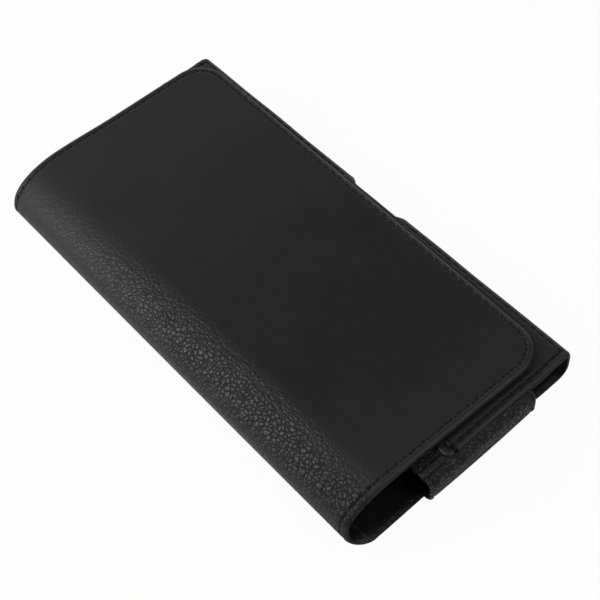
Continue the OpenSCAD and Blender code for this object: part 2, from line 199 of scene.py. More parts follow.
def before(b, steps):
    return [b - k for k in steps[::-1]]


def spaced(marks):
    """Stations through (position, step to the next mark)."""
    out = [marks[0][0]]
    for (a, step), (b, _) in zip(marks, marks[1:]):
        out += between(a, b, max(1, round((b - a) / step))) + [b]
    return np.array(out)


def lengths(path):
    """Length along a line at each of its points."""
    return np.concatenate([[0], np.cumsum(np.linalg.norm(np.diff(path, axis=0), axis=1))])


def path_coords(path, x, s):
    """Arc length along a line in the flat, and distance from it, at each point."""
    a, b = path[:-1], path[1:]
    d = b - a
    long = np.maximum((d**2).sum(1), 1e-12)
    start = np.concatenate([[0], np.cumsum(np.sqrt(long))])[:-1]
    q = np.stack([x.ravel(), s.ravel()], 1)
    best, along = np.full(len(q), 1e9), np.zeros(len(q))
    for k in range(len(a)):
        t = np.clip(((q - a[k]) @ d[k]) / long[k], 0, 1)
        r = np.hypot(*(q - a[k] - t[:, None] * d[k]).T)
        near = r < best
        best[near], along[near] = r[near], start[k] + t[near] * math.sqrt(long[k])
    return along.reshape(x.shape), best.reshape(x.shape)


def resample(path, step=1.0):
    """The same line with its points evenly spaced."""
    run = lengths(path)
    t = np.linspace(0, run[-1], max(2, round(run[-1] / step) + 1))
    return np.stack([np.interp(t, run, path[:, 0]), np.interp(t, run, path[:, 1])], 1)


def seam_coords(path, x, s):
    """Distance along a stitched line, in which holes lie a whole PITCH apart, and distance from it."""
    run = lengths(path)[-1]
    along, away = path_coords(resample(path, 0.8), x, s)
    return along * max(1, round(run / PITCH)) * PITCH / run, away


def closed(left, right, s):
    """The closed outline between two sides that are given at each s."""
    return np.concatenate([np.stack([right, s], 1), np.stack([left, s], 1)[::-1], [[right[0], s[0]]]])


def arc(cx, cy, r, a0, a1, n=14):
    a = np.radians(np.linspace(a0, a1, n))
    return np.stack([cx + r * np.cos(a), cy + r * np.sin(a)], 1)


def ripple(x, s, seed, wave, size):
    """Slow unevenness of a sheet, at most about size."""
    rng = np.random.default_rng(seed)
    total = 0
    for _ in range(6):
        a, f, p = rng.uniform(0, 6.283), rng.uniform(0.6, 1.6) / wave, rng.uniform(0, 6.283)
        total = total + np.sin(6.283 * f * (x * math.cos(a) + s * math.sin(a)) + p)
    return total * size / 4


class Sheet:
    """A leather panel on a course. side is +1 where its outer face looks left of the course, or -1."""

    def __init__(self, course, side, shift=None, warp=None):
        self.course, self.side, self.shift, self.warp = course, side, shift, warp

    def place(self, x, s, up):
        """Points at a height over the outer face, and the face's outward normals."""
        if self.warp:
            x, s = self.warp(x, s)
        y, z, g = self.course.at(s)
        ny, nz = -self.side * np.sin(g), self.side * np.cos(g)
        if self.shift:
            up = up + self.shift(x, s)
        return np.stack([x, y + ny * up, z + nz * up], -1), np.stack([0 * ny, ny, nz], -1)


def make_object(name, verts, faces, material, attributes=()):
    """A smooth mesh of points in millimetres, with its point attributes (name, kind, values)."""
    mesh = bpy.data.meshes.new(name)
    mesh.from_pydata([tuple(v) for v in row(*np.asarray(verts).T)], [], faces)
    obj = bpy.data.objects.new(name, mesh)
    bpy.context.scene.collection.objects.link(obj)
    for key, kind, data in attributes:
        layer = mesh.attributes.new(key, kind, "POINT")
        field = "vector" if kind == "FLOAT_VECTOR" else "value"
        layer.data.foreach_set(field, np.ascontiguousarray(data, np.float32).ravel())
    bm = bmesh.new()
    bm.from_mesh(mesh)
    bmesh.ops.recalc_face_normals(bm, faces=bm.faces)
    bm.to_mesh(mesh)
    bm.free()
    mesh.polygons.foreach_set("use_smooth", [True] * len(mesh.polygons))
    mesh.materials.append(material)
    return obj


def grid(rows, cols):
    """Numbers of a grid's points, and of the four corners of each of its squares."""
    index = np.arange(rows * cols).reshape(rows, cols)
    return index, np.stack([index[:-1, :-1], index[:-1, 1:], index[1:, 1:], index[1:, :-1]], -1)


def rim_edges(quads):
    """The directed edges that only one square has."""
    edges = {}
    for q in quads.tolist():
        for a, b in zip(q, q[1:] + q[:1]):
            if (b, a) in edges:
                del edges[(b, a)]
            else:
                edges[(a, b)] = True
    return edges


def panel(name, sheet, x, s, top, bottom, material, keep=None, seam=None, rim=PLAIN):
    """A closed sheet over the grid x, s: top and bottom are heights over its outer face.

    keep says which squares of the grid there are, seam is the distance along and from the seams, and rim
    is the profile of its edges.
    """
    quads = grid(*x.shape)[1]
    quads = quads.reshape(-1, 4) if keep is None else quads[keep]
    used = np.zeros(x.size, bool)
    used[quads.ravel()] = True
    quads = (np.cumsum(used) - 1)[quads]
    count = int(used.sum())
    upper = sheet.place(x, s, top)[0].reshape(-1, 3)[used]
    lower = sheet.place(x, s, bottom)[0].reshape(-1, 3)[used]
    flat = np.stack([x.ravel()[used], s.ravel()[used]], -1)
    high, low = top.ravel()[used], bottom.ravel()[used]
    edges = rim_edges(quads)
    out = np.zeros_like(flat)
    for a, b in edges:
        step = flat[b] - flat[a]
        step = np.array([step[1], -step[0]]) / max(float(np.hypot(*step)), 1e-9)
        out[a] += step
        out[b] += step
    ring = np.array(sorted({a for a, _ in edges}))
    place_of = {int(v): k for k, v in enumerate(ring)}
    out = out[ring] / np.maximum(np.linalg.norm(out[ring], axis=1), 1e-9)[:, None]
    rungs = [(flat[ring] + out * stand, high[ring] + (low[ring] - high[ring]) * share)
             for share, stand in rim]

    def rung(k, v):
        """Number of the point under rim point v on rung k, from the outer face down to the inner one."""
        if k == 0:
            return v
        if k > len(rim):
            return v + count
        return 2 * count + (k - 1) * len(ring) + place_of[v]

    walls = [(rung(k, b), rung(k, a), rung(k + 1, a), rung(k + 1, b))
             for a, b in edges for k in range(len(rim) + 1)]
    faces = quads.tolist() + (quads[:, ::-1] + count).tolist() + walls
    verts = np.concatenate([upper, lower] + [sheet.place(*q.T, h)[0] for q, h in rungs])
    deep = np.concatenate([np.zeros(count), high - low] + [high[ring] - h for _, h in rungs])
    plan = np.concatenate([flat, flat] + [q for q, _ in rungs])
    data = [("flat", "FLOAT_VECTOR", np.concatenate([plan, -deep[:, None]], 1))]
    if seam is not None:
        u, v = (w.ravel()[used] for w in seam)
        down = [v[ring] + UNSEWN * share for share, _ in rim]
        data += [("seam_u", "FLOAT", np.concatenate([u, u] + [u[ring]] * len(rim))),
                 ("seam_v", "FLOAT", np.concatenate([v, v + UNSEWN] + down))]
    return make_object(name, verts, faces, material, data)


def add_tube(verts, faces, centre, across, up, radius, sides):
    """Adds a closed tube along centre: ring i spreads over across[i] and up[i] by radius[i]."""
    base, rings = len(verts), len(centre)
    for i in range(rings):
        for j in range(sides):
            a = 2 * math.pi * j / sides
            verts.append(centre[i] + radius[i] * (math.cos(a) * across[i] + math.sin(a) * up[i]))
    for i in range(rings - 1):
        for j in range(sides):
            a, b = base + i * sides + j, base + i * sides + (j + 1) % sides
            faces.append((a, b, b + sides, a + sides))
    faces.append(tuple(base + j for j in range(sides - 1, -1, -1)))
    faces.append(tuple(base + (rings - 1) * sides + j for j in range(sides)))


def unit_rows(vectors):
    return vectors / np.linalg.norm(vectors, axis=1)[:, None]


def stitches(name, sheet, paths, material, sink, radius=0.20, pitch=PITCH):
    """Threads lying in a seam: short twisted strands whose ends go down into the leather."""
    verts, faces, flat = [], [], []
    rings, sides, reach = 9, 8, 0.30
    rel = np.linspace(-1, 1, rings)
    up = sink - 0.75 * rel**6 + 0.12 * (1 - rel**2)
    fat = radius * (1 - 0.35 * rel**4)
    for path in paths:
        run = lengths(path)
        count = max(1, int(round(run[-1] / pitch)))
        for k in range(count):
            t = (k + 0.5 + np.linspace(-reach, reach, rings)) * (run[-1] / count)
            centre, normal = sheet.place(np.interp(t, run, path[:, 0]), np.interp(t, run, path[:, 1]), up)
            across = np.cross(unit_rows(np.gradient(centre, axis=0)), normal)
            add_tube(verts, faces, centre, across, 0.85 * normal, fat, sides)
            flat += [(t[i] / radius, j / sides, k) for i in range(rings) for j in range(sides)]
    return make_object(name, verts, faces, material, [("flat", "FLOAT_VECTOR", np.array(flat))])


class Nodes:
    """Short calls for making the nodes of a material or of the world."""

    def __init__(self, tree):
        self.tree = tree

    def link(self, source, socket):
        """Gives a socket a number, a colour or another node's output."""
        if isinstance(source, (int, float, tuple)):
            socket.default_value = source
        else:
            self.tree.links.new(source, socket)

    def fill(self, node, inputs):
        for key, source in inputs.items():
            self.link(source, node.inputs[key])

    def made(self, kind, inputs, output=0, **settings):
        """The output of a new node with these settings and inputs."""
        node = self.tree.nodes.new("ShaderNode" + kind)
        for key, value in settings.items():
            setattr(node, key, value)
        self.fill(node, inputs)
        return node.outputs[output]

    def attribute(self, name, output="Vector"):
        return self.made("Attribute", {}, output, attribute_name=name)

    def coords(self, output="Object"):
        return self.made("TexCoord", {}, output)

    def split(self, vector):
        """X, Y and Z of a vector."""
        return tuple(self.made("SeparateXYZ", {0: vector}).node.outputs)

    def math(self, op, a, b=0.0):
        return self.made("Math", {0: a, 1: b}, operation=op)

    def plus(self, total, *terms):
        for term in terms:
            total = self.math("ADD", total, term)
        return total

    def times(self, total, *factors):
        for factor in factors:
            total = self.math("MULTIPLY", total, factor)
        return total

    def minus(self, a, b):
        return self.math("SUBTRACT", a, b)

    def most(self, a, b):
        return self.math("MAXIMUM", a, b)

    def scale(self, vector, by):
        by = by if isinstance(by, tuple) else (by, by, by)
        return self.made("Mapping", {"Vector": vector, "Scale": by})

    def moved(self, vector, other, by):
        """vector + other * by."""
        return self.made("VectorMath", {0: other, 1: (by, by, by), 2: vector}, operation="MULTIPLY_ADD")

    def noise(self, vector, scale, detail=3.0, rough=0.5, output="Fac"):
        inputs = {"Vector": vector, "Scale": scale, "Detail": detail, "Roughness": rough}
        return self.made("TexNoise", inputs, output)

    def cells(self, vector, scale, feature="DISTANCE_TO_EDGE", **inputs):
        inputs = {"Vector": vector, "Scale": scale, **inputs}
        return self.made("TexVoronoi", inputs, "Distance", feature=feature)

    def ramp(self, value, a, b, to_a=0.0, to_b=1.0):
        """to_a where value is a, turning smoothly into to_b where it is b."""
        inputs = {"Value": value, "From Min": a, "From Max": b, "To Min": to_a, "To Max": to_b}
        return self.made("MapRange", inputs, interpolation_type="SMOOTHSTEP")

    def mix(self, factor, a, b):
        return self.made("Mix", {0: factor, 6: a, 7: b}, 2, data_type="RGBA")

    def bump(self, height, distance, strength=1.0, **normal):
        inputs = {"Height": height, "Distance": distance * MM, "Strength": strength, **normal}
        return self.made("Bump", inputs)


def rgb(r, g, b, light=1.0):
    return (r * light, g * light, b * light, 1.0)


def grey(v):
    return rgb(v, v, v)


def new_material(name):
    """A material, the calls for its nodes, and its shader."""
    material = bpy.data.materials.new(name)
    material.use_nodes = True
    n = Nodes(material.node_tree)
    n.tree.nodes.clear()
    out = n.tree.nodes.new("ShaderNodeOutputMaterial")
    shader = n.tree.nodes.new("ShaderNodeBsdfPrincipled")
    n.link(shader.outputs[0], out.inputs[0])
    return material, n, shader


def leather(name, cell=1.35, depth=0.34, calm=None, holes=0.5, gloss=0.35, light=1.0, crack=0.15):
    """Pebbled black leather, with needle holes along the seams. Its creases, needle holes and seam grooves
    are painted darker, as shade.

    cell is a pebble's size, depth its relief and holes a needle hole's radius, in millimetres. calm is
    (low, high, share, start): the grain flattens to share from s = low to high, before start, and towards
    the -X end. gloss is the roughness, light a factor on the colour, and crack the width of the creases.
    """
    material, n, shader = new_material(name)
    flat = n.attribute("flat")
    # Cells whose shapes wander, drawn out along the holster
    wander = n.moved(flat, n.noise(n.scale(flat, 0.16), 1.0, 2.0, 0.5, "Color"), 2.4)
    wander = n.moved(wander, n.noise(n.scale(flat, 0.9), 1.0, 1.0, 0.5, "Color"), 0.45)
    wander = n.scale(wander, (0.80, 1.0, 1.0))
    edge = n.cells(wander, 1 / cell)
    middle = n.cells(wander, 1 / cell, "F1")
    tone = n.made("SeparateColor", {0: middle.node.outputs["Color"]})
    # Domes of uneven height, with small cracks and crumbs on them
    cap = n.minus(1.0, n.times(middle, middle, 1.5))
    dome = n.plus(n.times(cap, 0.6), n.times(n.ramp(edge, 0.0, 0.26), 0.4))
    dome = n.times(dome, n.plus(0.65, n.times(tone, 0.35)))
    cracks = n.ramp(n.cells(wander, 2.4 / cell), 0.0, 0.22)
    crumb = n.noise(flat, 4.5, 3.0, 0.6)
    height = n.plus(n.times(dome, 0.85), n.times(cracks, 0.09), n.times(crumb, 0.04))
    crease = n.ramp(edge, 0.02, crack, 1.0, 0.0)
    # Drawn tight, the grain flattens, and the leather is duller towards both ends
    duller = []
    if calm:
        low, high, least, start = calm
        x, s, _ = n.split(flat)
        end = n.ramp(x, -80.0, 5.0, 0.24, 1.0)
        share = n.times(n.ramp(s, low, high, 1.0, least), n.ramp(s, start, start + 7.0, 0.22, 1.0), end)
        height = n.times(height, share)
        crease = n.times(crease, share)
        duller = [n.times(n.minus(1.0, end), 0.14), n.ramp(x, 35.0, 84.0, 0.0, 0.09)]
    # Needle holes in a line, longer along it, and a dark line along the seam between them: painted shade in
    # the holes and in the seam's groove
    turn = n.math("FRACT", n.plus(n.math("DIVIDE", n.attribute("seam_u", "Fac"), PITCH), 0.5))
    along, v = n.times(n.minus(turn, 0.5), PITCH), n.attribute("seam_v", "Fac")
    away = n.math("SQRT", n.plus(n.times(along, along, 0.45), n.times(v, v)))
    hole = n.ramp(away, 0.7 * holes, 1.7 * holes, 1.0, 0.0)
    normal = n.bump(n.minus(1.0, hole), 0.35, 0.8, Normal=n.bump(height, depth))
    # Painted shade: near black in the needle holes, half as dark along the seam's groove
    dark = n.ramp(away, 0.75 * holes, 1.25 * holes, 1.0, 0.0)
    dark = n.most(dark, n.ramp(v, 0.34, 0.70, 0.5, 0.0))
    blot = n.ramp(n.noise(flat, 0.11, 3.0), 0.4, 0.7, 0.0, 0.5)
    shade = n.mix(blot, rgb(0.0064, 0.0064, 0.0066, light), rgb(0.0080, 0.0079, 0.0079, light))
    # Painted shade: the creases between the pebbles are coloured darker
    shade = n.mix(crease, shade, rgb(0.0016, 0.0016, 0.0017))
    rough = n.plus(gloss, n.times(crease, 0.40), n.times(crumb, 0.06), *duller, n.times(dark, 0.45))
    n.fill(shader, {"Base Color": n.mix(dark, shade, grey(0.0005)), "Roughness": rough, "Normal": normal,
                    "Specular IOR Level": 0.42})
    return material


def lining_material():
    """Black microfibre: matt, softly napped."""
    material, n, shader = new_material("lining_cloth")
    flat = n.attribute("flat")
    wave = n.cells(n.scale(flat, (1.0, 1.0, 0.2)), 2.6, "SMOOTH_F1", Smoothness=0.3)
    fuzz = n.noise(flat, 9.0, 4.0, 0.7)
    height = n.plus(n.times(wave, 0.5), n.times(fuzz, 0.6))
    shade = n.mix(n.noise(flat, 0.4, 4.0), rgb(0.0025, 0.0025, 0.0026), rgb(0.0060, 0.0060, 0.0063))
    n.fill(shader, {"Base Color": shade, "Roughness": n.ramp(fuzz, 0.3, 0.7, 0.82, 0.95),
                    "Normal": n.bump(height, 0.06), "Specular IOR Level": 0.2, "Sheen Weight": 0.12,
                    "Sheen Roughness": 0.5})
    return material


def thread_material():
    """Black thread of three plies, painted darker between the plies as shade."""
    material, n, shader = new_material("thread")
    along, around, _ = n.split(n.attribute("flat"))
    turn = n.plus(n.times(along, 2.6), n.times(around, 12.566))
    ply = n.plus(n.times(n.math("SINE", turn), 0.5), 0.5)
    # Painted shade: the thread is coloured darker where the plies dip
    n.fill(shader, {"Base Color": n.mix(ply, grey(0.002), grey(0.008)), "Normal": n.bump(ply, 0.08),
                    "Roughness": 0.85, "Specular IOR Level": 0.06})
    return material


def metal(name, colour, dark, metallic, rough, coat=0.0, scratch=1.0, peel=0.0):
    """Plated or painted steel, with fine scratches, a little grime and wear on its edges.

    dark is the colour of its grime. scratch and peel are the shares of the scratches and of the paint's
    orange peel in its relief.
    """
    material, n, shader = new_material(name)
    at = n.coords()
    lines = n.noise(n.scale(at, (2200.0, 90.0, 900.0)), 1.0, 4.0, 0.6)
    blot = n.noise(n.scale(at, 130.0), 1.0, 4.0, 0.55)
    orange = n.noise(n.scale(at, 1500.0), 1.0, 2.0, 0.5)
    height = n.plus(n.times(lines, scratch), n.times(orange, peel))
    bevel, normal = n.made("Bevel", {"Radius": 0.5 * MM}), n.made("NewGeometry", {}, "Normal")
    flatness = n.made("VectorMath", {0: bevel, 1: normal}, "Value", operation="DOT_PRODUCT")
    worn = n.times(n.ramp(flatness, 0.80, 0.97, 1.0, 0.0), n.ramp(blot, 0.35, 0.6))
    shade = n.mix(n.ramp(blot, 0.35, 0.7, 0.0, 0.6), colour, dark)
    n.fill(shader, {"Base Color": n.mix(n.times(worn, 0.5), shade, rgb(0.20, 0.20, 0.21)),
                    "Roughness": n.plus(rough, n.times(n.minus(blot, 0.5), 0.22)),
                    "Normal": n.bump(height, 0.02), "Metallic": metallic, "Coat Weight": coat,
                    "Coat Roughness": 0.3})
    return material


def board_material():
    """Grey fibre board."""
    material, n, shader = new_material("board")
    fibre = n.noise(n.scale(n.coords(), (400.0, 1500.0, 900.0)), 1.0, 4.0, 0.7)
    n.fill(shader, {"Base Color": n.mix(fibre, rgb(0.16, 0.14, 0.115), rgb(0.27, 0.24, 0.20)),
                    "Normal": n.bump(fibre, 0.05), "Roughness": 0.9})
    return material


LEATHER_WRAP = leather("leather_wrap", calm=(22.5, 33.0, 0.08, 10.0), holes=0.46)
LEATHER_SHELL = leather("leather_shell", depth=0.26, calm=(58.0, 76.0, 0.16, -20.0), holes=0.66)
LEATHER_STRAP = leather("leather_strap", depth=0.62, holes=0.55, gloss=0.32, light=1.6, crack=0.22)
LINING = lining_material()
THREAD = thread_material()
BLACK_STEEL = metal("black_steel", rgb(0.012, 0.012, 0.013), rgb(0.022, 0.022, 0.023), 0.0, 0.42,
                    coat=0.25, scratch=0.3, peel=1.0)
PLATED = metal("plated_steel", rgb(0.52, 0.52, 0.53), rgb(0.36, 0.36, 0.37), 1.0, 0.34)
NICKEL = metal("nickel", rgb(0.62, 0.60, 0.57), rgb(0.50, 0.48, 0.45), 1.0, 0.22)
BOARD = board_material()
CAD_MATERIALS = {
    "back_board": BOARD, "front_board": BOARD, "flap_board": BOARD, "keeper_left": NICKEL,
    "keeper_right": NICKEL, "flap_magnet_left": NICKEL, "flap_magnet_right": NICKEL,
    "clip_backing_plate": PLATED, "clip_pin": PLATED, "clip_rivets": BLACK_STEEL, "clip_base": BLACK_STEEL,
    "clip_lever": BLACK_STEEL}


def fold_size():
    """The factor on FOLD's radii that brings the flap up to FLAP_TOP, and the fold's length in Y."""
    turned, rise, run = 0.0, 0.0, 0.0
    for r, angle in FOLD:
        a, b = math.radians(turned), math.radians(turned + angle)
        rise += r * (math.sin(b) - math.sin(a))
        run += r * (math.cos(a) - math.cos(b))
        turned += angle
    k = (FLAP_TOP - HEEL_R) / rise
    return k, k * run


FOLD_SCALE, FOLD_RUN = fold_size()
WRAP_COURSE = Course(
    [[STRIP_Y - HEEL_R, 0], [HEEL_R, -90], *([FOLD_SCALE * r, -a] for r, a in FOLD), [FLAP_Y - FOLD_RUN, 0]],
    (STRIP_Y, 0), 180)
SHELL_COURSE = Course(
    [[POUCH_W - TURN_R - STRIP_Y, 0], [TURN_R, 90], [POUCH_H - TURN_R - LIP_R, 0], [LIP_R, 90],
     [POUCH_W - LIP_R - FRONT_Y, 0]], (STRIP_Y, 0), 0)
S_HINGE, S_FLAT, S_FREE = WRAP_COURSE.s_of(2), WRAP_COURSE.s_of(6), WRAP_COURSE.length
S_TURN, _, S_LIP, S_FRONT, S_TOP = (SHELL_COURSE.s_of(k) for k in range(1, 6))


def skew(x, s):
    """The flap was sewn on a little askew: the square sheet is turned beyond the hinge line."""
    turn, slant = math.sin(math.radians(FLAP_SKEW)), math.sin(math.radians(FREE_SKEW))
    y = np.where(s > S_HINGE, WRAP_COURSE.at(s)[0], 0.0)
    return x + y * turn, s - (x - FLAP_MID) * slant * smooth((s - S_HINGE) / (S_FLAT - S_HINGE))


def wrap_shift(x, s):
    """The fold bows out along its middle, and the sheet is a little uneven."""
    past = s - S_HINGE
    bow = FOLD_BOW * (1 - (x / HALF_L) ** 2) * smooth((past + 2) / 6) * (1 - smooth((past - 14) / 16))
    bow = bow + HEEL_BOW * hump((past + 1.1) / 4.5)
    return bow + ripple(x, s, 4, 46.0, 0.10) * smooth((s - STRIP_Y) / 10)


def shell_shift(x, s):
    """The bottom fold stands up in a soft roll on both sides of its seam."""
    past = s - S_FRONT
    roll = 0.16 * hump((past + 2.6) / 1.9) + 0.10 * hump((past - 1.4) / 1.8)
    return roll + ripple(x, s, 9, 38.0, 0.10)


WRAP = Sheet(WRAP_COURSE, 1, wrap_shift, skew)
SHELL = Sheet(SHELL_COURSE, -1, shell_shift)


def edge_top(d):
    """The outer face at a distance from an edge: a low bead, then it slopes away and rounds over."""
    d = np.maximum(d, 0)
    slope = 0.50 * np.clip(1 - d / 1.25, 0, 1) ** 1.5
    return 0.05 * hump((d - 1.0) / 0.9) - slope - 0.26 * round_off(1 - d / 0.4)


def edge_bottom(d):
    """The inner face: the leather is pressed thin towards its edge."""
    d = np.maximum(d, 0)
    return -SKIN_T + 0.30 * (1 - smooth(d / 3.2)) + 0.12 * round_off(1 - d / 0.5)


def cloth_top(d):
    """Where a lining starts, inset from the leather's edge and just under its inner face."""
    return edge_bottom(d + LINING_INSET) - 0.01


def cloth_bottom(d):
    """A lining's inner face, thinner towards its edge."""
    return cloth_top(d) - (PANEL_T - SKIN_T) + 0.28 * (1 - smooth(d / 0.5))


def corner_cut(s, end, r, inset):
    """How far a rounded corner draws in the side of a sheet that ends at end."""
    return (r - inset) * round_off((s - (end - r)) / (r - inset))


def flap_edges(s, inset=0.0):
    """Left and right edge of the wrapped piece at each s: the heel runs out to the ends of the pouch."""
    past = s - S_HINGE
    flare = smooth((past + 8.2) / 12.4)
    right = HALF_L + (FLAP_R - HALF_L) * flare
    left = -HALF_L + (FLAP_L + HALF_L) * flare - SIDE_BOW * hump((past - 27) / 22)
    corner = corner_cut(s, S_FREE, FLAP_CORNER, inset)
    return left + inset + corner, right - inset - corner


def outline_of(edges, s0, s1, inset=0.0):
    """A panel's outline, with its points close together over the last stretch, where it rounds."""
    stretch = 14
    last = s1 - stretch + stretch * np.sin(np.linspace(0, math.pi / 2, 40))[1:]
    s = np.concatenate([np.linspace(s0, s1 - stretch, 60), last])
    return closed(*edges(s, inset), s)


def flap_grid(start, inset):
    """The wrapped piece's grid from start, fine in its tight bends and edges, and distances from its edge."""
    end = S_FREE - inset
    s = spaced([(start, 0.5), (STRIP_Y - HEEL_R, 0.36), (S_HINGE + 3, 0.8), (S_FLAT, 1.7),
                (end - FLAP_CORNER, 0.55), (end - INSETS[-1], 1)])
    s = np.concatenate([s[:-1], before(end, INSETS)])
    left, right = flap_edges(s, inset)
    middle = between(left + INSETS[-1], right - INSETS[-1], FLAP_COLUMNS)
    x = np.stack(after(left, INSETS) + middle + before(right, INSETS), 1)
    s = np.repeat(s[:, None], x.shape[1], 1)
    return x, s, path_coords(outline_of(flap_edges, start, end, inset), x, s)[1]


def flap_seam(inset, s0):
    """The flap's stitched line, at an inset from its sides, from s0 on one side round to s0 on the other."""
    r, low = FLAP_CORNER - inset, S_FREE - FLAP_CORNER
    s = np.linspace(s0, low, 60)
    left, right = flap_edges(s)
    bends = [arc(FLAP_R - FLAP_CORNER, low, r, 0, 90)[1:], arc(FLAP_L + FLAP_CORNER, low, r, 90, 180)]
    for bend in bends:
        bend[:, 1] = low + (bend[:, 1] - low) * (FLAP_CORNER - FREE_SEAM) / r
    sides = np.stack([right - inset, s], 1), np.stack([left + inset, s], 1)[::-1][1:]
    return np.concatenate([sides[0], *bends, sides[1]])


def make_wrap():
    """The outer leather of the fold and flap, and its threads."""
    x, s, d = flap_grid(0.0, 0.0)
    seam = flap_seam(FLAP_SEAM, S_HINGE - 1.5)
    u, v = seam_coords(seam, x, s)
    top = edge_top(d) - WRAP_GROOVE * groove(v)
    obj = panel("flap_wrap", WRAP, x, s, top, edge_bottom(d), LEATHER_WRAP, seam=(u, v), rim=ROLLED)
    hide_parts("flap_leather")
    thread = stitches("flap_thread", WRAP, [resample(seam)], THREAD, FLAP_SINK)
    return obj, thread


def make_wrap_lining():
    x, s, d = flap_grid(STRIP_Y - HEEL_R - LINING_INSET, LINING_INSET)
    obj = panel("flap_lining_cloth", WRAP, x, s, cloth_top(d), cloth_bottom(d), LINING)
    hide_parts("flap_lining")
    return obj


def shell_edges(s, inset=0.0):
    """Left and right edge of the pouch's leather, which spreads a little towards the bottom fold."""
    edge = HALF_L - inset - corner_cut(s, S_TOP, FRONT_CORNER, inset)
    spread = 0.7 * smooth((SHELL_COURSE.at(s)[0] - 64) / 12)
    return -edge - spread, edge + 0.5 * spread + 0.3 * smooth((s - S_FRONT - 4) / 8)


def notch_edges(s, grow=0.0):
    """Left and right side of the push notch at each s."""
    y, _, _ = SHELL_COURSE.at(s)
    t = np.clip((y - NOTCH_Y) / (POUCH_W - NOTCH_Y), 0, 1)
    return NOTCH_X0 + NOTCH_SLANT * (1 - t) - grow, NOTCH_X1 - NOTCH_SLANT * (1 - t) + grow


def notch_span(grow):
    """The two places on the course where the notch starts and ends."""
    a = S_TURN + TURN_R * math.asin((NOTCH_Y - (POUCH_W - TURN_R)) / TURN_R)
    b = S_FRONT + (POUCH_W - LIP_R - NOTCH_Y)
    return a - grow, b + grow


def shell_rows(start, end, a, b):
    """Rows of the pouch's sheet, close together at the notch, which goes from a to b, and where it bends."""
    beside = 1.6
    rows = spaced([(start, 0.6), (start + 4, 2.0), (S_TURN, 1.0), (a - NEAR[-1], 1)])[:-1]
    mid = spaced([(a + NEAR[-1], 0.8), (S_LIP, 0.42), (S_FRONT - beside, 1)])[1:-1]
    low = spaced([(S_FRONT - beside, 0.2), (b + beside, 1)])
    rows = np.concatenate([rows, before(a, NEAR), after(a, NEAR[1:]), mid, low, [b]])
    rows = np.unique(np.round(rows, 6))
    tail = spaced([(rows[-1], 1.6), (end - FRONT_CORNER - 1, 0.5), (end - INSETS[-1], 1)])[1:-1]
    return np.concatenate([rows, tail, before(end, INSETS)])


def shell_columns(left, right, n0, n1):
    """Columns of the pouch's sheet, and the numbers of the two that are the notch's sides."""
    cols = after(left, INSETS) + between(left + INSETS[-1], n0 - NEAR[-1], LEFT_COLUMNS) + before(n0, NEAR)
    first = len(cols) - 1
    cols += after(n0, NEAR[1:]) + between(n0 + NEAR[-1], n1 - NEAR[-1], NOTCH_COLUMNS) + before(n1, NEAR)
    last = len(cols) - 1
    cols += after(n1, NEAR[1:]) + between(n1 + NEAR[-1], right - INSETS[-1], RIGHT_COLUMNS)
    return np.stack(cols + before(right, INSETS), 1), first, last


def shell_grid(start, end, inset):
    """The pouch's grid, the squares that are kept round the notch, and distances from ends and notch."""
    grow = NOTCH_LINING if inset else 0.0
    a, b = notch_span(grow)
    rows = shell_rows(start, end, a, b)
    left, right = shell_edges(rows, inset)
    x, first, last = shell_columns(left, right, *notch_edges(rows, grow))
    s = np.repeat(rows[:, None], x.shape[1], 1)
    keep = np.ones((x.shape[0] - 1, x.shape[1] - 1), bool)
    middle = (rows[:-1] + rows[1:]) / 2
    keep[np.ix_((middle > a) & (middle < b), range(first, last))] = False
    edge = np.linspace(a, b, 60)
    from_notch = path_coords(closed(*notch_edges(edge, grow), edge), x, s)[1]
    from_edge = path_coords(outline_of(shell_edges, start, end, inset), x, s)[1]
    from_ends = np.minimum(x - left[:, None], right[:, None] - x)
    return x, s, keep, np.minimum(from_edge, from_notch), np.minimum(from_ends, from_notch)


def shell_seams():
    """Stitched lines of the pouch, in the flat: the front panel's, two of the base, and two on the back."""
    k = FRONT_SEAM
    s_low = S_FRONT - 0.8
    r = FRONT_CORNER - k + 0.6
    s = np.linspace(s_low, S_TOP - FRONT_CORNER, 30)
    left, right = (np.stack([e + side, s], 1) for e, side in zip(shell_edges(s), (k, -k)))
    cx, cs = HALF_L - k - r, S_TOP - k - r
    top = np.concatenate([right, arc(cx, cs, r, 0, 90), arc(-cx, cs, r, 90, 180), left[::-1]])
    beside = 3.0
    base_l = np.array([[k - HALF_L, s_low], [NOTCH_X0 - beside, s_low]])
    base_r = np.array([[NOTCH_X1 + beside, s_low], [HALF_L - k, s_low]])
    t = np.linspace(5.0, S_TURN - 3.0, 30)
    back = [np.stack([side * (shell_edges(t)[1] - k), t], 1) for side in (-1, 1)]
    return [top, base_l, base_r] + back


def make_shell(seams):
    """The leather of the back, the bottom fold and the front panel."""
    x, s, keep, d, side = shell_grid(0.0, S_TOP, 0.0)
    found = [seam_coords(p, x, s) for p in seams]
    for k in (1, 2):
        found[k] = found[k][0], found[k][1] + BASE_FAINT
    v = np.min([f[1] for f in found], 0)
    u = np.select([f[1] == v for f in found], [f[0] for f in found])
    drop = 0.25 * (1 - smooth((S_TOP - s) / 0.6)) * smooth(side / 0.6)
    top = edge_top(side) - drop - SHELL_GROOVE * groove(v)
    obj = panel("pouch_shell", SHELL, x, s, top, edge_bottom(d), LEATHER_SHELL, keep, (u, v), ROLLED)
    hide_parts("pouch_leather")
    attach(obj, "pouch")
    return obj


def make_shell_lining():
    x, s, keep, d, _ = shell_grid(LINING_START, S_TOP - LINING_INSET, LINING_INSET)
    obj = panel("pouch_lining_cloth", SHELL, x, s, cloth_top(d), cloth_bottom(d), LINING, keep)
    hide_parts("pouch_lining")
    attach(obj, "pouch")
    return obj


